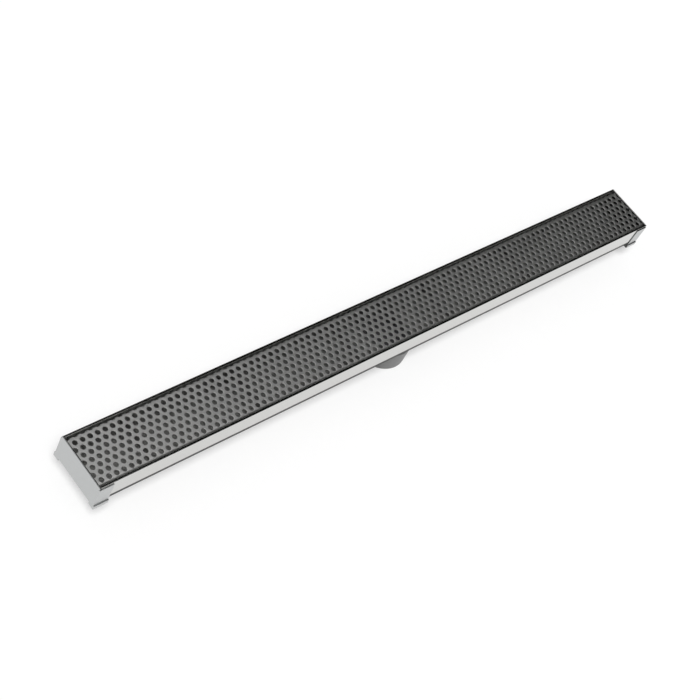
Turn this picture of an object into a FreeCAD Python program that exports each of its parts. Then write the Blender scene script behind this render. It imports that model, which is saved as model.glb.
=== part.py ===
import FreeCAD, Part
import math
import os

# Linear channel drain: a folded steel channel, a cast shoe on each end, a perforated grate that drops in
# between the hemmed rims, and a pipe hub clamped under the middle of the floor.
# Millimetres. X runs along the channel, Z is up, and the origin is the centre of the hub's open end.

V = FreeCAD.Vector

# Overall
LENGTH = 914.4           # over both end caps
WIDTH = 70.5             # over the channel's side walls
CHANNEL_DEPTH = 33.5     # top of the rim to the underside of the channel's floor
CAP_HEIGHT = 38.0        # top of the rim to the underside of the feet

# Channel: one folded sheet with a closed hem along each rim
CHANNEL_SHEET = 1.2
HEM_GAP = 0.3            # between the two leaves of the hem
HEM_DEPTH = 9.0          # rim to the lower edge of the hem's inner leaf
HEM_EDGE = 0.5           # outer radius of the hem's pressed-flat top edges
FLOOR_BEND = 3.5         # outer radius of the bend between wall and floor

# End caps: cast shoes that the ends of the channel push into
CAP_PLATE = 1.5          # end plate
CAP_WALL = 1.0           # arms beside the channel and web below it
CAP_ARM_LENGTH = 19.0    # from the outer face of the end plate
CAP_ARM_DROP = 3.0       # rim to the top edge of the arms
FOOT_HEIGHT = 5.5
FOOT_LEDGE = 1.2         # how far a foot stands out past its arm
FOOT_WIDTH = 9.0
CAP_EDGE = 0.4           # radius of the cast edges
END_GASKET = 0.8
END_GASKET_DROP = 0.6    # rim to the top edge of the end gasket

# Grate: perforated sheet folded down along both sides
GRATE_SHEET = 1.2
GRATE_HEIGHT = 9.0
GRATE_BEND = 1.6         # outer radius of the folds
GRATE_DROP = 1.0         # rim to the top of the grate
GRATE_SIDE_GAP = 1.3     # between the hem and the folded side
GRATE_END_GAP = 0.4
HOLE_DIAMETER = 6.35     # round hole with the same open area
HOLE_SIDES = 4           # each hole is punched as a regular polygon with this many sides
HOLE_PITCH = 9.525       # centre to centre, in rows staggered at 60 degrees
HOLE_ROWS = 7
FIRST_HOLE = 6.0         # left end of the grate to the first hole of the outermost rows
PATTERN_SHIFT = -1.45    # the middle row's place across the channel

# Bars welded across the channel that carry the grate
SUPPORT_COUNT = 6
SUPPORT_THICKNESS = 2.0
SUPPORT_HEIGHT = 10.0

# Outlet
PIPE_DIAMETER = 60.3     # outside of the pipe that the hub takes
SOCKET_CLEARANCE = 0.1   # radial
SOCKET_DEPTH = 22.0
SOCKET_CHAMFER = 0.8
HUB_WALL = 4.75          # around the socket
HUB_SHOULDER = 5.5       # thickness of the stop above the socket
OUTLET_GASKET = 1.0
THROAT_DIAMETER = 50.0
CLAMP_MARGIN = 4.0       # from the throat to each side of the square clamp plate
CLAMP_CORNER = 5.0
CLAMP_THICKNESS = 1.5

# Clamp screws
SCREW_INSET = 5.95       # from two sides of the clamp plate
SCREW_DIAMETER = 3.0
SCREW_LENGTH = 12.0      # under the head
SCREW_CLEARANCE = 0.1    # radial, in every hole that a screw passes
HEAD_DIAMETER = 5.5
HEAD_HEIGHT = 1.7
RECESS_WIDTH = 2.0       # across the flats of the hexagon recess
RECESS_DEPTH = 1.0

# Levels and spans that follow from the sizes above
FLOOR_BOTTOM = SOCKET_DEPTH + HUB_SHOULDER + OUTLET_GASKET
FLOOR_TOP = FLOOR_BOTTOM + CHANNEL_SHEET
RIM = FLOOR_BOTTOM + CHANNEL_DEPTH
FOOT_BOTTOM = RIM - CAP_HEIGHT
HUB_DIAMETER = PIPE_DIAMETER + 2 * (SOCKET_CLEARANCE + HUB_WALL)
CLAMP_SIZE = THROAT_DIAMETER + 2 * CLAMP_MARGIN
CLAMP_TOP = FLOOR_TOP + CLAMP_THICKNESS
GRATE_TOP = RIM - GRATE_DROP
GRATE_BOTTOM = GRATE_TOP - GRATE_HEIGHT
HALF_WIDTH = WIDTH / 2
HALF_CHANNEL = LENGTH / 2 - CAP_PLATE - END_GASKET
HALF_GRATE = HALF_CHANNEL - GRATE_END_GAP
HEM_WIDTH = 2 * CHANNEL_SHEET + HEM_GAP
GRATE_HALF_WIDTH = HALF_WIDTH - HEM_WIDTH - GRATE_SIDE_GAP


def rounded_wire(corners):
    """Closed wire in the YZ plane through corners (y, z, radius), each rounded by a tangent arc."""
    count = len(corners)
    arcs = []
    for i in range(count):
        y, z, radius = corners[i]
        here = V(0, y, z)
        before = V(0, *corners[i - 1][:2]) - here
        after = V(0, *corners[(i + 1) % count][:2]) - here
        before.normalize()
        after.normalize()
        half_angle = before.getAngle(after) / 2
        if radius < 1e-9:
            arcs.append((here, None, here))
            continue
        reach = radius / math.tan(half_angle)
        middle = before + after
        middle.normalize()
        arcs.append((here + before * reach,
                     here + middle * (radius / math.sin(half_angle) - radius),
                     here + after * reach))
    edges = []
    for i, (start, middle, end) in enumerate(arcs):
        if middle is not None:
            edges.append(Part.Arc(start, middle, end).toShape())
        next_start = arcs[(i + 1) % count][0]
        if end.distanceToPoint(next_start) > 1e-6:
            edges.append(Part.makeLine(end, next_start))
    return Part.Wire(edges)


def along_x(corners, x_from, x_to):
    """Solid of a rounded YZ outline carried from x_from to x_to."""
    solid = Part.Face(rounded_wire(corners)).extrude(V(x_to - x_from, 0, 0))
    solid.translate(V(x_from, 0, 0))
    return solid


def sheet_outline(path, thickness):
    """Outline of a folded sheet from its outer face: path holds (y, z, outer radius), interior on its left."""
    def offset(i):
        y, z, radius = path[i]
        here = V(0, y, z)
        normals = []
        for a, b in ((i - 1, i), (i, i + 1)):
            if a < 0 or b >= len(path):
                continue
            run = V(0, *path[b][:2]) - V(0, *path[a][:2])
            run.normalize()
            normals.append(V(0, -run.z, run.y))
        if len(normals) == 1:
            shift = normals[0]
        else:
            total = normals[0] + normals[1]
            shift = total * (1 / (1 + normals[0].dot(normals[1])))
        moved = here + shift * thickness
        return (moved.y, moved.z, max(radius - thickness, 0))

    inner = [offset(i) for i in range(len(path))]
    return list(path) + inner[::-1]


def mirrored(path):
    """The path followed by its mirror image across the plane y = 0."""
    return path + [(-y, z, radius) for y, z, radius in path[::-1]]


def ring(outer_radius, inner_radius, z_from, z_to):
    """Flat ring around the Z axis."""
    height = z_to - z_from
    base = V(0, 0, z_from)
    return Part.makeCylinder(outer_radius, height, base).cut(Part.makeCylinder(inner_radius, height, base))


def revolve(profile):
    """Solid of revolution of a closed (radius, z) profile around the Z axis."""
    wire = Part.makePolygon([V(r, 0, z) for r, z in profile + profile[:1]])
    return Part.Face(wire).revolve(V(0, 0, 0), V(0, 0, 1), 360)


def polygon_face(radius, sides, turn, x, y, z):
    """Level regular polygon; radius reaches its corners and turn (degrees) is where the first one points."""
    points = []
    for i in range(sides + 1):
        angle = math.radians(turn) + 2 * math.pi * (i % sides) / sides
        points.append(V(x + radius * math.cos(angle), y + radius * math.sin(angle), z))
    return Part.Face(Part.makePolygon(points))


def prism(radius, sides, turn, x, y, z_from, z_to):
    """Upright regular prism on a polygon_face."""
    return polygon_face(radius, sides, turn, x, y, z_from).extrude(V(0, 0, z_to - z_from))


def screw_places():
    """Centres of the clamp screws, one near each corner of the clamp plate."""
    reach = CLAMP_SIZE / 2 - SCREW_INSET
    return [(reach, reach), (-reach, reach), (-reach, -reach), (reach, -reach)]


def screw_holes(z_from, z_to):
    """Clearance holes for the clamp screws between two levels."""
    radius = SCREW_DIAMETER / 2 + SCREW_CLEARANCE
    return [Part.makeCylinder(radius, z_to - z_from, V(x, y, z_from)) for x, y in screw_places()]


def channel_envelope(z_top):
    """Outline of the space that the channel fills, closed across at z_top."""
    return [(-HALF_WIDTH, z_top, 0), (-HALF_WIDTH, FLOOR_BOTTOM, FLOOR_BEND),
            (HALF_WIDTH, FLOOR_BOTTOM, FLOOR_BEND), (HALF_WIDTH, z_top, 0)]


def channel():
    """One sheet: inner leaf of the hem, fold, side wall, floor and back up the other side."""
    leaf = HALF_WIDTH - HEM_WIDTH
    side = [(-leaf, RIM - HEM_DEPTH, 0), (-leaf, RIM, HEM_EDGE), (-HALF_WIDTH, RIM, HEM_EDGE),
            (-HALF_WIDTH, FLOOR_BOTTOM, FLOOR_BEND)]
    body = along_x(sheet_outline(mirrored(side), CHANNEL_SHEET), -HALF_CHANNEL, HALF_CHANNEL)
    throat = Part.makeCylinder(THROAT_DIAMETER / 2, CHANNEL_SHEET, V(0, 0, FLOOR_BOTTOM))
    return body.cut([throat] + screw_holes(FLOOR_BOTTOM, FLOOR_TOP))


def left_end_cap():
    """Cast shoe: end plate, an arm along each side wall, a web under the floor and two feet."""
    outer = HALF_WIDTH + CAP_WALL
    web_bottom = FLOOR_BOTTOM - CAP_WALL
    ledge = FOOT_BOTTOM + FOOT_HEIGHT
    foot = outer + FOOT_LEDGE
    x_face = -LENGTH / 2
    x_plate = x_face + CAP_PLATE
    shoulder = [(-outer, RIM - CAP_ARM_DROP, CAP_EDGE), (-outer, ledge, CAP_EDGE), (-foot, ledge, CAP_EDGE),
                (-foot, FOOT_BOTTOM, CAP_EDGE)]
    arms = shoulder + [(-foot + FOOT_WIDTH, FOOT_BOTTOM, CAP_EDGE), (-foot + FOOT_WIDTH, web_bottom, CAP_EDGE)]
    shoe = along_x(mirrored(arms), x_face, x_face + CAP_ARM_LENGTH)
    end_plate = along_x(mirrored([(-HALF_WIDTH, RIM, CAP_EDGE), (-HALF_WIDTH, RIM - CAP_ARM_DROP, 0)] + shoulder),
                        x_face, x_plate)
    pocket = along_x(channel_envelope(RIM + 1), x_plate, x_face + CAP_ARM_LENGTH + 1)
    cap = shoe.fuse(end_plate).cut(pocket).removeSplitter()
    face_edges = [e for e in cap.Edges if all(abs(v.X - x_face) < 1e-6 for v in e.Vertexes)]
    return cap.makeFillet(CAP_EDGE, face_edges)


def left_end_gasket():
    """Rubber pad between the end plate and the channel's end."""
    return along_x(channel_envelope(RIM - END_GASKET_DROP), -HALF_CHANNEL - END_GASKET, -HALF_CHANNEL)


def hole_places():
    """Centres of the grate's holes: rows staggered by half a pitch, cut off at the sheet's ends."""
    reach = HOLE_DIAMETER / 2
    for row in range(HOLE_ROWS):
        y = PATTERN_SHIFT + (row - (HOLE_ROWS - 1) / 2) * HOLE_PITCH * math.sqrt(3) / 2
        x = -HALF_GRATE + FIRST_HOLE - (row % 2) * HOLE_PITCH / 2
        while x < HALF_GRATE + reach:
            yield x, y
            x += HOLE_PITCH


def punched_hole(x, y, z):
    """Face of one hole: a regular polygon with the open area of the round hole, flat sides square to the rows."""
    corner = HOLE_DIAMETER / 2 * math.sqrt(2 * math.pi / HOLE_SIDES / math.sin(2 * math.pi / HOLE_SIDES))
    return polygon_face(corner, HOLE_SIDES, 180 / HOLE_SIDES, x, y, z)


def grate():
    """Perforated web with both sides folded down."""
    web_edge = GRATE_HALF_WIDTH - GRATE_BEND
    web_bottom = GRATE_TOP - GRATE_SHEET
    blank = Part.makePlane(2 * HALF_GRATE, 2 * web_edge, V(-HALF_GRATE, -web_edge, web_bottom))
    web = blank.cut([punched_hole(x, y, web_bottom) for x, y in hole_places()]).Faces[0]
    web = web.extrude(V(0, 0, GRATE_SHEET))
    side = [(web_edge, GRATE_TOP, 0), (GRATE_HALF_WIDTH, GRATE_TOP, GRATE_BEND), (GRATE_HALF_WIDTH, GRATE_BOTTOM, 0)]
    far_side = along_x(sheet_outline(side[::-1], GRATE_SHEET), -HALF_GRATE, HALF_GRATE)
    near_side = far_side.mirror(V(0, 0, 0), V(0, 1, 0))
    return web.fuse([far_side, near_side])


def grate_support(index):
    """Flat bar on edge, welded between the side walls under the hems."""
    spacing = 2 * HALF_CHANNEL / SUPPORT_COUNT
    x = -HALF_CHANNEL + spacing * (index + 0.5)
    span = WIDTH - 2 * CHANNEL_SHEET
    return Part.makeBox(SUPPORT_THICKNESS, span, SUPPORT_HEIGHT,
                        V(x - SUPPORT_THICKNESS / 2, -span / 2, GRATE_BOTTOM - SUPPORT_HEIGHT))


def outlet_hub():
    """Moulded hub: throat, stop shoulder and socket, with blind holes for the clamp screws."""
    outer = HUB_DIAMETER / 2
    throat = THROAT_DIAMETER / 2
    socket = PIPE_DIAMETER / 2 + SOCKET_CLEARANCE
    top = SOCKET_DEPTH + HUB_SHOULDER
    hub = revolve([(throat, top), (outer, top), (outer, SOCKET_CHAMFER), (outer - SOCKET_CHAMFER, 0),
                   (socket + SOCKET_CHAMFER, 0), (socket, SOCKET_CHAMFER), (socket, SOCKET_DEPTH),
                   (throat, SOCKET_DEPTH)])
    hole_bottom = CLAMP_TOP - SCREW_LENGTH - 1
    return hub.cut(screw_holes(hole_bottom, top))


def outlet_gasket():
    """Flat rubber ring between the hub and the underside of the floor."""
    body = ring(HUB_DIAMETER / 2 - 1, THROAT_DIAMETER / 2, FLOOR_BOTTOM - OUTLET_GASKET, FLOOR_BOTTOM)
    return body.cut(screw_holes(FLOOR_BOTTOM - OUTLET_GASKET, FLOOR_BOTTOM))


def clamp_plate():
    """Square plate on the channel's floor that the screws pull down."""
    plate = Part.makeBox(CLAMP_SIZE, CLAMP_SIZE, CLAMP_THICKNESS, V(-CLAMP_SIZE / 2, -CLAMP_SIZE / 2, FLOOR_TOP))
    upright = [e for e in plate.Edges if abs(e.tangentAt(e.FirstParameter).z) > 0.99]
    plate = plate.makeFillet(CLAMP_CORNER, upright)
    throat = Part.makeCylinder(THROAT_DIAMETER / 2, CLAMP_THICKNESS, V(0, 0, FLOOR_TOP))
    return plate.cut([throat] + screw_holes(FLOOR_TOP, CLAMP_TOP))


def clamp_screw(x, y):
    """Button-head screw with a hexagon recess."""
    shank = Part.makeCylinder(SCREW_DIAMETER / 2, SCREW_LENGTH, V(x, y, CLAMP_TOP - SCREW_LENGTH))
    head = Part.makeCylinder(HEAD_DIAMETER / 2, HEAD_HEIGHT, V(x, y, CLAMP_TOP))
    top_edges = [e for e in head.Edges if all(abs(v.Z - CLAMP_TOP - HEAD_HEIGHT) < 1e-6 for v in e.Vertexes)]
    head = head.makeChamfer(HEAD_HEIGHT / 2, top_edges)
    recess = prism(RECESS_WIDTH / math.sqrt(3), 6, 0, x, y, CLAMP_TOP + HEAD_HEIGHT - RECESS_DEPTH,
                   CLAMP_TOP + HEAD_HEIGHT)
    return head.fuse(shank).cut(recess)


def build():
    """Every piece of the drain by name."""
    across = V(1, 0, 0)
    pieces = {
        "channel": channel(),
        "left_end_cap": left_end_cap(),
        "left_end_gasket": left_end_gasket(),
        "grate": grate(),
        "outlet_hub": outlet_hub(),
        "outlet_gasket": outlet_gasket(),
        "clamp_plate": clamp_plate(),
    }
    for name in ("end_cap", "end_gasket"):
        pieces["right_" + name] = pieces["left_" + name].mirror(V(0, 0, 0), across)
    for i in range(SUPPORT_COUNT):
        pieces["grate_support_%d" % (i + 1)] = grate_support(i)
    for i, (x, y) in enumerate(screw_places()):
        pieces["clamp_screw_%d" % (i + 1)] = clamp_screw(x, y)
    return pieces


os.makedirs("parts", exist_ok=True)
for node, shape in build().items():
    solid = shape.Solids[0] if len(shape.Solids) == 1 else shape
    solid.exportStep("parts/%s.step" % node)
    size = shape.BoundBox
    print("%-18s %8.2f x %6.2f x %6.2f mm  volume %9.1f"
          % (node, size.XLength, size.YLength, size.ZLength, shape.Volume))
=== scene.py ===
import math

import bmesh
import bpy
import numpy as np
from mathutils import Matrix


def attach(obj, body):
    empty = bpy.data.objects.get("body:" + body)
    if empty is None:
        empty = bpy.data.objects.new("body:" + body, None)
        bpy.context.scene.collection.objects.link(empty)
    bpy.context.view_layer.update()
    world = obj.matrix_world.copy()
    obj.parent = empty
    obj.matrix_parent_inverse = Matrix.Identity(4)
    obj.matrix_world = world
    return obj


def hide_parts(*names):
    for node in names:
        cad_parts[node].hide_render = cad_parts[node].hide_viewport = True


# Linear channel drain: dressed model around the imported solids. Metres, X along the channel, Z up.

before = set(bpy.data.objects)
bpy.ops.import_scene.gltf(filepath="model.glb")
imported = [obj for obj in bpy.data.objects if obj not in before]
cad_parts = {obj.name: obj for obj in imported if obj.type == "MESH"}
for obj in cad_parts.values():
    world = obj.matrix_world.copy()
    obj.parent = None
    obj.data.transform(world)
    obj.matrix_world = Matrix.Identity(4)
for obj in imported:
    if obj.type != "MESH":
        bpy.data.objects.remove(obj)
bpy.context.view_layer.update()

# Channel
HALF_LENGTH = 0.4572           # over the end caps
HALF_WIDTH = 0.03525           # to the outside of the walls
RIM = 0.062
FLOOR_BOTTOM = 0.0285
FLOOR_BEND = 0.0035            # outer radius between wall and floor
SHEET = 0.0012                 # thickness of the channel and of the grate
POLISH_END_AND_SHADE_TOP = 0.0362            # height under which the walls' polish ends and their feet are painted near black as shade
RIM_POLISH = 0.0003            # depth of polish on the inner edge of the rims

# Grate
GRATE_TOP = 0.061
GRATE_HEIGHT = 0.009
GRATE_BEND = 0.0030            # outer radius of the folds
GRATE_HALF_LENGTH = 0.4545
GRATE_HALF_WIDTH = 0.03125
FOLD_LINES = 6                 # score lines along each fold
HOLE_RADIUS = 0.003175
HOLE_LIP = 0.0002              # width and depth of the worn edge round each hole
HOLE_CORNERS = 18              # a multiple of six
HOLE_PITCH = 0.009525
HOLE_ROWS = 11                 # the outer ones lie in the folded sides
HOLE_COLUMNS = 98
FIRST_HOLE = 0.006             # from the grate's end, in every other row
PATTERN_SHIFT = -0.00145       # the middle row's place across the channel

# End caps
CAP_PLATE = 0.0015
CAP_WALL = 0.001
CAP_ARM_LENGTH = 0.019
CAP_ARM_DROP = 0.003           # rim to the top edge of the arms
CAP_ROUNDING = 0.0011          # on the edges round the face
SOFT_EDGE = 0.3                # share of that rounding on the other edges
BEND_CORNERS = 9
FOOT_BOTTOM = 0.024
FOOT_LEDGE_TOP = 0.0295
FOOT_LEDGE = 0.0012
FOOT_WIDTH = 0.009

# Camera and stage
CAMERA_PLACE = (-1.15999, -0.54198, 1.37235)
CAMERA_TURN = ((0.72072060, 0.34020979, -0.60400259),
               (-0.59999999, 0.74254669, -0.29769856),
               (0.34722016, 0.57695903, 0.73929456))
CAMERA_LENS = 78.698
FLOOR_REACH = 6
FLOOR_SHADE = 0.65             # share of the floor's white that takes the shadow
HUB_BORE = 0.031               # radius of the floor's spot inside the hub that is painted near black as shade
FLAG_DISTANCE = 3.0
KEY_STRENGTH = 2.2
KEY_ANGLE = 26
KEY_TURN = (15, -22, 0)

CLOSE = 1e-7                   # points nearer than this are the same


# ---------------------------------------------------------------- meshes

def link(piece):
    """Puts an object into the scene."""
    bpy.context.scene.collection.objects.link(piece)
    return piece


def mesh_object(name, points, faces, material):
    """New object from an (n, 3) array of points and an (m, 4) array of corner indices."""
    mesh = bpy.data.meshes.new(name)
    mesh.from_pydata(points.tolist(), [], faces.tolist())
    mesh.materials.append(material)
    return link(bpy.data.objects.new(name, mesh))


def merged(points, faces):
    """Points that lie within the same cell of a fine grid become one point, and the faces follow."""
    keys = np.round(points / CLOSE).astype(np.int64)
    _, first, place = np.unique(keys, axis=0, return_index=True, return_inverse=True)
    return points[first], place.reshape(-1)[faces]


def perforated_sheet():
    """Flat perforated sheet, made of one hexagonal cell per hole.

    Seen from a hole's centre, the cell's border lies at pitch / 2 / cos(a), where a is the angle to the nearest
    neighbour's direction, so the borders of neighbours are the same line. The angles start at a corner of the cell,
    so that each corner gets a point. Five rings of points go from that border over the top face, round the lip, down
    the hole's wall and back to the border on the underside. Even rows start half a pitch before the odd ones.
    """
    sector = np.pi / 6
    turn = 2 * np.pi * np.arange(HOLE_CORNERS) / HOLE_CORNERS - sector
    border = HOLE_PITCH / 2 / np.cos((turn + sector) % (2 * sector) - sector)
    around = np.ones(HOLE_CORNERS)
    bore = HOLE_RADIUS * around
    radius = np.stack([border, bore + HOLE_LIP, bore, bore, border])
    height = np.array([SHEET, SHEET, SHEET - HOLE_LIP, 0, 0])[:, None] * around
    cell = np.stack([radius * np.cos(turn), radius * np.sin(turn), height], axis=-1)

    row = np.arange(HOLE_ROWS)[:, None] - HOLE_ROWS // 2
    column = np.arange(HOLE_COLUMNS)[None, :] - 1
    across = PATTERN_SHIFT + row * HOLE_PITCH * math.sqrt(3) / 2 + 0 * column
    along = FIRST_HOLE - GRATE_HALF_LENGTH + (column - (row + 1) % 2 / 2) * HOLE_PITCH
    centre = np.stack([along, across, 0 * along], axis=-1).reshape(-1, 1, 1, 3)
    points = (centre + cell).reshape(-1, 3)

    ring, step = np.meshgrid(np.arange(len(cell) - 1), np.arange(HOLE_CORNERS), indexing="ij")
    nxt = (step + 1) % HOLE_CORNERS
    below = (ring + 1) * HOLE_CORNERS
    quad = np.stack([ring * HOLE_CORNERS + step, ring * HOLE_CORNERS + nxt, below + nxt, below + step], axis=-1)
    first = np.arange(len(centre))[:, None, None] * len(cell) * HOLE_CORNERS
    return merged(points, (first + quad.reshape(-1, 4)).reshape(-1, 4))


def folded_grate(material):
    """The flat sheet is trimmed to its blank, scored along the fold lines and folded down along both sides.

    A point at distance s from the middle and height h stays level while s is inside the flat part. In the fold it
    turns by (s - flat) / middle radius round the fold's axis, and past the fold it goes straight down.
    """
    flat = GRATE_HALF_WIDTH - GRATE_BEND
    inner = GRATE_BEND - SHEET
    middle = GRATE_BEND - SHEET / 2
    fold_end = flat + middle * math.pi / 2
    blank = fold_end + GRATE_HEIGHT - GRATE_BEND
    grate = mesh_object("perforated_grate", *perforated_sheet(), material)
    work = bmesh.new()
    work.from_mesh(grate.data)
    for sign in (1, -1):
        for place, outward in (((sign * GRATE_HALF_LENGTH, 0, 0), (sign, 0, 0)),
                               ((0, sign * blank, 0), (0, sign, 0))):
            bmesh.ops.bisect_plane(work, geom=work.verts[:] + work.edges[:] + work.faces[:], dist=CLOSE,
                                   plane_co=place, plane_no=outward, clear_outer=True)
            bmesh.ops.holes_fill(work, edges=[e for e in work.edges if e.is_boundary], sides=0)
    for side in (-1, 1):
        for s in np.linspace(flat, fold_end, FOLD_LINES):
            near = [f for f in work.faces if abs(side * f.calc_center_median().y - s) < HOLE_PITCH]
            around = list({v for f in near for v in f.verts}) + list({e for f in near for e in f.edges}) + near
            bmesh.ops.bisect_plane(work, geom=around, dist=CLOSE, plane_co=(0, side * s, 0), plane_no=(0, 1, 0))
    bmesh.ops.triangulate(work, faces=[f for f in work.faces if len(f.verts) > 4])
    work.to_mesh(grate.data)
    work.free()

    places = np.empty(len(grate.data.vertices) * 3)
    grate.data.vertices.foreach_get("co", places)
    x, y, h = places.reshape(-1, 3).T
    s = np.abs(y)
    angle = np.clip((s - flat) / middle, 0, math.pi / 2)
    rho = inner + h
    folded = np.where(s > flat, flat + rho * np.sin(angle), s)
    down = np.where(s > flat, GRATE_TOP - GRATE_BEND + rho * np.cos(angle), GRATE_TOP - SHEET + h)
    down = down - np.clip(s - fold_end, 0, None)
    grate.data.vertices.foreach_set("co", np.stack([x, np.sign(y) * folded, down], axis=-1).reshape(-1))
    grate.data.update()
    grate.data.set_sharp_from_angle(angle=math.radians(35))
    return grate


def both_sides(half):
    """Points (y, z) of the -Y half, then their mirror images in reverse order."""
    half = np.array(half)
    return np.concatenate([half, (half * (-1, 1))[::-1]])


def at(x, outline):
    """Points (x, y, z) of an outline (y, z) at one place along the channel."""
    return np.column_stack([np.full(len(outline), x), outline])


def strip(first, second, closed):
    """Faces between two rows of as many points."""
    count = len(first) if closed else len(first) - 1
    return [(first[i], first[(i + 1) % len(first)], second[(i + 1) % len(first)], second[i]) for i in range(count)]


def cast_cap(name, side, material, tip_shade_material):
    """Cast shoe from three outlines at three stations along the channel, with its edges rounded.

    The outside runs down the arm, over the foot and across the web. The pocket runs down the channel's wall, round
    its bend as (y, z) = centre - bend (cos a, sin a), and across its floor. The crest is the plate's top edge. The
    plate spans from the face to the pocket's end, and the arms from there to their tips. The tips' end faces are
    painted near black, as shade at the arms' ends.
    """
    outer = HALF_WIDTH + CAP_WALL
    foot = outer + FOOT_LEDGE
    arm_top = RIM - CAP_ARM_DROP
    web = FLOOR_BOTTOM - CAP_WALL
    outside = both_sides([(-outer, arm_top), (-outer, FOOT_LEDGE_TOP), (-foot, FOOT_LEDGE_TOP), (-foot, FOOT_BOTTOM),
                          (FOOT_WIDTH - foot, FOOT_BOTTOM), (FOOT_WIDTH - foot, web)])
    angle = np.linspace(0, np.pi / 2, BEND_CORNERS)
    bend = np.stack([FLOOR_BEND - HALF_WIDTH - FLOOR_BEND * np.cos(angle),
                     FLOOR_BOTTOM + FLOOR_BEND - FLOOR_BEND * np.sin(angle)], axis=-1)
    pocket = both_sides(np.concatenate([[(-HALF_WIDTH, arm_top)], bend]))
    crest = np.array([(HALF_WIDTH, RIM), (-HALF_WIDTH, RIM)])
    step = np.array([(HALF_WIDTH, arm_top), (-HALF_WIDTH, arm_top)])
    face, plate, tip = side * np.array([HALF_LENGTH, HALF_LENGTH - CAP_PLATE, HALF_LENGTH - CAP_ARM_LENGTH])

    rim_line = np.concatenate([outside, step[:1], crest, step[1:]])
    blocks = [at(face, rim_line), at(plate, outside), at(plate, pocket), at(plate, crest), at(tip, outside),
              at(tip, pocket)]
    start = np.cumsum([0] + [len(b) for b in blocks])
    face_i, out_1, pocket_1, crest_1, out_2, pocket_2 = [list(range(a, b)) for a, b in zip(start[:-1], start[1:])]
    back_rim = out_1 + [pocket_1[-1]] + crest_1 + [pocket_1[0]]
    faces = [tuple(face_i[::-1])] + strip(face_i, back_rim, True) + strip(out_1, out_2, False)
    faces += strip(pocket_2, pocket_1, False) + [tuple(pocket_1 + crest_1)]
    faces += [(pocket_1[0], out_1[0], out_2[0], pocket_2[0]), (out_1[-1], pocket_1[-1], pocket_2[-1], out_2[-1])]
    faces += [tuple(out_2 + pocket_2[::-1])]
    mesh = bpy.data.meshes.new(name)
    mesh.from_pydata(np.concatenate(blocks).tolist(), [], faces)
    mesh.materials.append(material)
    mesh.materials.append(tip_shade_material)
    # The arms' tip face takes the near black painted shade.
    mesh.polygons[-1].material_index = 1
    work = bmesh.new()
    work.from_mesh(mesh)
    bmesh.ops.recalc_face_normals(work, faces=work.faces[:])
    weight = work.edges.layers.float.new("bevel_weight_edge")
    for edge in work.edges:
        if edge.calc_face_angle(0) > math.radians(30):
            on_face = all(abs(v.co.x - face) < CLOSE for v in edge.verts)
            edge[weight] = 1.0 if on_face else SOFT_EDGE
    work.to_mesh(mesh)
    work.free()
    mesh.shade_smooth()
    cap = link(bpy.data.objects.new(name, mesh))
    rounding = cap.modifiers.new("rounding", "BEVEL")
    rounding.width = CAP_ROUNDING
    rounding.segments = 4
    rounding.limit_method = "WEIGHT"
    rounding.harden_normals = True
    rounding.material = 0
    return cap


# ---------------------------------------------------------------- materials

def grey(value):
    """Even grey colour."""
    return (value, value, value)


def feed(tree, socket, value):
    """Links a socket to another one, or sets it to a number or a colour."""
    if isinstance(value, bpy.types.NodeSocket):
        tree.links.new(value, socket)
    elif socket.type == "RGBA":
        socket.default_value = (*value, 1)
    else:
        socket.default_value = value


def node(tree, kind, **values):
    """Adds a node; keys that name a socket feed it, the others set the node's own properties."""
    made = tree.nodes.new(kind)
    for key, value in values.items():
        if key in made.inputs:
            feed(tree, made.inputs[key], value)
        else:
            setattr(made, key, value)
    return made


def figure(tree, operation, *values, use_clamp=False):
    """Result of a Math node on one or two values."""
    made = node(tree, "ShaderNodeMath", operation=operation, use_clamp=use_clamp)
    for socket, value in zip(made.inputs, values):
        feed(tree, socket, value)
    return made.outputs[0]


def blended(tree, factor, first, second):
    """Colour between the first one, at factor 0, and the second, at 1."""
    return node(tree, "ShaderNodeMix", data_type="RGBA", Factor=factor, A=first, B=second).outputs["Result"]


def carried(tree, value, low, high):
    """Value carried over from 0..1 to low..high."""
    return node(tree, "ShaderNodeMapRange", **{"Value": value, "To Min": low, "To Max": high}).outputs["Result"]


def own_place(tree):
    """Object coordinates."""
    return node(tree, "ShaderNodeTexCoord").outputs["Object"]


def new_material(name, color, metallic, roughness, **more):
    """Principled material, its node tree and its shader."""
    made = bpy.data.materials.new(name)
    made.use_nodes = True
    tree = made.node_tree
    shader = tree.nodes["Principled BSDF"]
    values = {"Base Color": color, "Metallic": metallic, "Roughness": roughness, **more}
    for socket, value in values.items():
        feed(tree, shader.inputs[socket], value)
    return made, tree, shader


def relief(tree, shader, height, strength, depth):
    """Bump from a height into the shader's normal."""
    bump = node(tree, "ShaderNodeBump", Strength=strength, Distance=depth, Height=height)
    feed(tree, shader.inputs["Normal"], bump.outputs["Normal"])


def effect_group(name, inputs, outputs):
    """Empty node group with float inputs (name: default) and float outputs."""
    tree = bpy.data.node_groups.new(name, "ShaderNodeTree")
    for label, default in inputs.items():
        tree.interface.new_socket(label, in_out="INPUT", socket_type="NodeSocketFloat").default_value = default
    for label in outputs:
        tree.interface.new_socket(label, in_out="OUTPUT", socket_type="NodeSocketFloat")
    return tree, tree.nodes.new("NodeGroupInput"), tree.nodes.new("NodeGroupOutput")


def stretched_noise(tree, stretch, detail):
    """Noise over object coordinates scaled by stretch (x, y, z)."""
    scale = node(tree, "ShaderNodeVectorMath", operation="MULTIPLY")
    feed(tree, scale.inputs[0], own_place(tree))
    feed(tree, scale.inputs[1], stretch)
    return node(tree, "ShaderNodeTexNoise", Scale=1.0, Detail=detail, Roughness=0.6,
                Vector=scale.outputs["Vector"]).outputs["Fac"]


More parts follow.
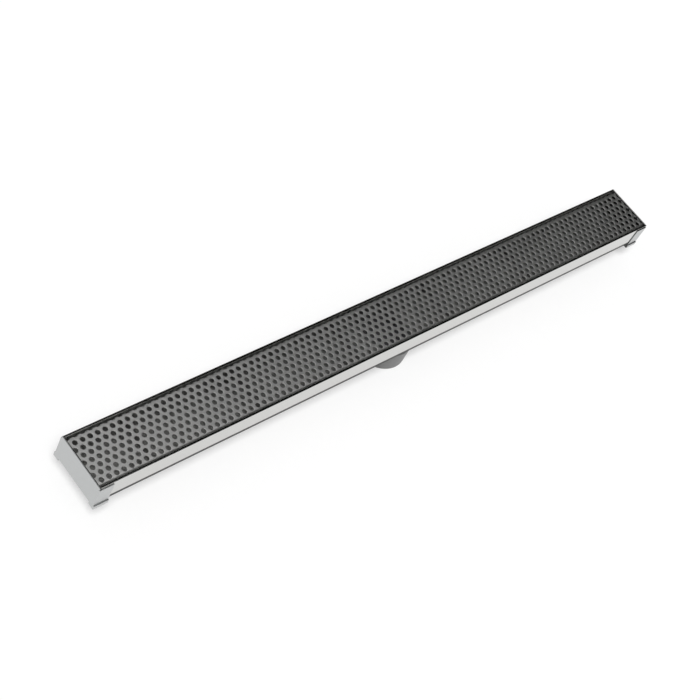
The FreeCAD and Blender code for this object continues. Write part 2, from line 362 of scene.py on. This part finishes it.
def rolled_finish_group():
    """Fine lines left along the sheet by rolling, and broad soft clouds from handling."""
    tree, given, result = effect_group("rolled_finish", {"Roughness": 0.2, "Lines": 0.05, "Clouds": 0.05},
                                       ["Roughness", "Height"])
    noises = {"Lines": stretched_noise(tree, (14, 2600, 2600), 3), "Clouds": stretched_noise(tree, (22, 60, 60), 2)}
    lines, clouds = [figure(tree, "MULTIPLY", figure(tree, "SUBTRACT", noise, 0.5), given.outputs[amount])
                     for amount, noise in noises.items()]
    both = figure(tree, "ADD", lines, clouds)
    total = figure(tree, "ADD", both, given.outputs["Roughness"], use_clamp=True)
    feed(tree, result.inputs["Roughness"], total)
    feed(tree, result.inputs["Height"], lines)
    return tree


def grain_group():
    """Fine even grain, as cast or moulded surfaces have, and a mask of broad clouds."""
    tree, given, result = effect_group("even_grain", {"Size": 0.0005}, ["Height", "Mask"])
    fine = node(tree, "ShaderNodeTexNoise", Detail=3.0, Roughness=0.55, Vector=own_place(tree),
                Scale=figure(tree, "DIVIDE", 1.0, given.outputs["Size"]))
    feed(tree, result.inputs["Height"], fine.outputs["Fac"])
    feed(tree, result.inputs["Mask"], stretched_noise(tree, (70, 70, 70), 3))
    return tree


ROLLED = rolled_finish_group()
GRAIN = grain_group()


def rolled(tree, shader, roughness, lines, clouds, bump):
    """Rolling lines and clouds in the shader's roughness, and the lines in its relief."""
    effect = node(tree, "ShaderNodeGroup", node_tree=ROLLED)
    for socket, value in (("Roughness", roughness), ("Lines", lines), ("Clouds", clouds)):
        feed(tree, effect.inputs[socket], value)
    feed(tree, shader.inputs["Roughness"], effect.outputs["Roughness"])
    relief(tree, shader, effect.outputs["Height"], bump, 0.00002)


def rolled_metal(name, color, roughness, lines, clouds, bump=0.5):
    """Sheet steel as it comes from the mill."""
    made, tree, shader = new_material(name, color, 1.0, roughness)
    rolled(tree, shader, roughness, lines, clouds, bump)
    return made


def grained(name, color, metallic, roughness, size, bump, depth, shade=0.9):
    """Cast, moulded or rubber surface: even grain in the height, and soft clouds in colour and roughness."""
    made, tree, shader = new_material(name, color, metallic, roughness)
    effect = node(tree, "ShaderNodeGroup", node_tree=GRAIN)
    feed(tree, effect.inputs["Size"], size)
    relief(tree, shader, effect.outputs["Height"], bump, depth)
    cloud = effect.outputs["Mask"]
    feed(tree, shader.inputs["Base Color"], blended(tree, cloud, [shade * c for c in color], color))
    feed(tree, shader.inputs["Roughness"], carried(tree, cloud, roughness - 0.05, roughness + 0.05))
    return made


def channel_steel():
    """Polished on the walls and rims, dull inside the trough and under the floor, painted shade along the walls'
    feet.

    The feet are where z lies under the polish; there the colour is a near black that stands in for shade. The dull
    part is where |y| is inside the walls' outer faces and z is under the rim.
    """
    # The third colour is near black painted shade for the walls' feet.
    polished, dull, painted_foot_shade = (0.575, 0.575, 0.56), (0.40, 0.40, 0.39), (0.035, 0.035, 0.034)
    made, tree, shader = new_material("polished_channel_steel", polished, 1.0, 0.1)
    axes = node(tree, "ShaderNodeSeparateXYZ", Vector=own_place(tree))
    low = figure(tree, "LESS_THAN", axes.outputs["Z"], POLISH_END_AND_SHADE_TOP)
    within = figure(tree, "LESS_THAN", figure(tree, "ABSOLUTE", axes.outputs["Y"]), HALF_WIDTH - SHEET / 2)
    under = figure(tree, "LESS_THAN", axes.outputs["Z"], RIM - RIM_POLISH)
    inside = figure(tree, "MULTIPLY", within, under)
    # The walls' feet under the polish get the painted shade, standing in for the shade under the drain.
    walls = blended(tree, low, polished, painted_foot_shade)
    feed(tree, shader.inputs["Base Color"], blended(tree, inside, walls, dull))
    gloss = carried(tree, figure(tree, "MAXIMUM", low, inside), 0.1, 0.45)
    rolled(tree, shader, gloss, 0.06, 0.05, 0.25)
    return made


POLISHED_STEEL = channel_steel()
SATIN_STEEL = rolled_metal("satin_grate_steel", (0.72, 0.72, 0.71), 0.41, 0.12, 0.08)
INNER_STEEL = rolled_metal("mill_finish_steel", (0.27, 0.27, 0.265), 0.42, 0.12, 0.1)
CAST_STEEL = grained("satin_cast_steel", (0.51, 0.52, 0.52), 1.0, 0.34, 0.0006, 0.25, 0.00003, 0.94)
# Near black painted on the arms' tip faces, as the shade line at their ends.
TIP_SHADE = grained("painted_tip_shade", grey(0.10), 1.0, 0.5, 0.0006, 0.25, 0.00003)
GREY_PLASTIC = grained("moulded_grey_plastic", grey(0.20), 0.0, 0.45, 0.0004, 0.3, 0.00004)
BLACK_RUBBER = grained("black_rubber", grey(0.022), 0.0, 0.7, 0.0005, 0.4, 0.00005)


def finish_of(name):
    """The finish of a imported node, by its name."""
    if name == "channel":
        return POLISHED_STEEL
    if name.endswith("end_cap"):
        return CAST_STEEL
    if name == "outlet_hub":
        return GREY_PLASTIC
    if name.endswith("gasket"):
        return BLACK_RUBBER
    return INNER_STEEL


for name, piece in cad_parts.items():
    slots = piece.data.materials
    slots.clear()
    slots.append(finish_of(name))

grate = folded_grate(SATIN_STEEL)
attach(grate, "root")
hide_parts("grate")

for end, side in (("left", -1), ("right", 1)):
    cap = cast_cap(end + "_cast_cap", side, CAST_STEEL, TIP_SHADE)
    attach(cap, "root")
    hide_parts(end + "_end_cap")


# ---------------------------------------------------------------- stage

def seen_or_mirrored(tree):
    """1 for rays from the camera and for rays in a reflection or through glass."""
    path = node(tree, "ShaderNodeLightPath").outputs
    direct = figure(tree, "MAXIMUM", path["Is Camera Ray"], path["Is Glossy Ray"])
    return figure(tree, "MAXIMUM", direct, path["Is Transmission Ray"])


def pale_floor():
    """Large level plane under the drain, clear from below and painted near black under the outlet as shade.

    Where it is seen or mirrored, part of its white is its own glow, and the rest takes light and shadow.
    """
    corners = FLOOR_REACH * np.array([(-1, -1, 0), (1, -1, 0), (1, 1, 0), (-1, 1, 0)])
    made, tree, shader = new_material("pale_floor", grey(0.8), 0.0, 0.9,
                                      **{"Specular IOR Level": 0.0, "Emission Strength": 1.0})
    reach = node(tree, "ShaderNodeVectorMath", operation="LENGTH")
    feed(tree, reach.inputs[0], own_place(tree))
    outside = figure(tree, "GREATER_THAN", reach.outputs["Value"], HUB_BORE)
    seen = figure(tree, "MULTIPLY", seen_or_mirrored(tree), outside)
    feed(tree, shader.inputs["Emission Color"], blended(tree, seen, grey(0), grey(1 - FLOOR_SHADE)))
    lit = blended(tree, seen, grey(0.8), grey(FLOOR_SHADE))
    # Inside the hub's bore the floor is painted near black without glow, as shade.
    feed(tree, shader.inputs["Base Color"], blended(tree, outside, grey(0.12), lit))
    either = node(tree, "ShaderNodeMixShader", Fac=node(tree, "ShaderNodeNewGeometry").outputs["Backfacing"])
    tree.links.new(shader.outputs["BSDF"], either.inputs[1])
    tree.links.new(node(tree, "ShaderNodeBsdfTransparent").outputs["BSDF"], either.inputs[2])
    tree.links.new(either.outputs["Shader"], tree.nodes["Material Output"].inputs["Surface"])
    floor = mesh_object("floor", corners, np.array([[0, 1, 2, 3]]), made)


def white_world():
    """White behind everything, and an even grey for light."""
    world = bpy.data.worlds.new("studio")
    bpy.context.scene.world = world
    world.use_nodes = True
    tree = world.node_tree
    feed(tree, tree.nodes["Background"].inputs["Color"],
         blended(tree, seen_or_mirrored(tree), grey(0.4), grey(1)))


def dark_flag(name, azimuth, low, high, half_span):
    """Dark studio panel on part of a cylinder around the drain, seen only in reflections. Angles in degrees.

    A point is at (distance cos a, distance sin a, distance tan e) for azimuth a and elevation e.
    """
    columns, rows = 25, 9
    turn, rise = np.meshgrid(np.radians(np.linspace(azimuth - half_span, azimuth + half_span, columns)),
                             np.radians(np.linspace(low, high, rows)), indexing="ij")
    points = FLAG_DISTANCE * np.stack([np.cos(turn), np.sin(turn), np.tan(rise)], axis=-1).reshape(-1, 3)
    i, j = np.meshgrid(np.arange(columns - 1), np.arange(rows - 1), indexing="ij")
    first = i * rows + j
    faces = np.stack([first, first + rows, first + rows + 1, first + 1], axis=-1).reshape(-1, 4)
    made = new_material(name, grey(0), 0.0, 1.0, **{"Specular IOR Level": 0.0, "Emission Strength": 1.0,
                                                    "Emission Color": (0.010, 0.010, 0.009)})[0]
    panel = mesh_object(name, points, faces, made)
    panel.visible_camera = panel.visible_diffuse = panel.visible_shadow = panel.visible_transmission = False


pale_floor()
white_world()
dark_flag("back_flag", azimuth=8, low=6, high=64, half_span=62)
dark_flag("front_flag", azimuth=-75, low=3, high=40, half_span=21)

sun = bpy.data.lights.new("key", "SUN")
sun.energy = KEY_STRENGTH
sun.angle = math.radians(KEY_ANGLE)
key = link(bpy.data.objects.new("key", sun))
key.rotation_euler = [math.radians(a) for a in KEY_TURN]
key.visible_glossy = False

camera = link(bpy.data.objects.new("camera", bpy.data.cameras.new("camera")))
camera.data.lens = CAMERA_LENS
camera.matrix_world = Matrix.Translation(CAMERA_PLACE) @ Matrix(CAMERA_TURN).to_4x4()
bpy.context.scene.camera = camera
bpy.context.scene.view_settings.view_transform = "Standard"
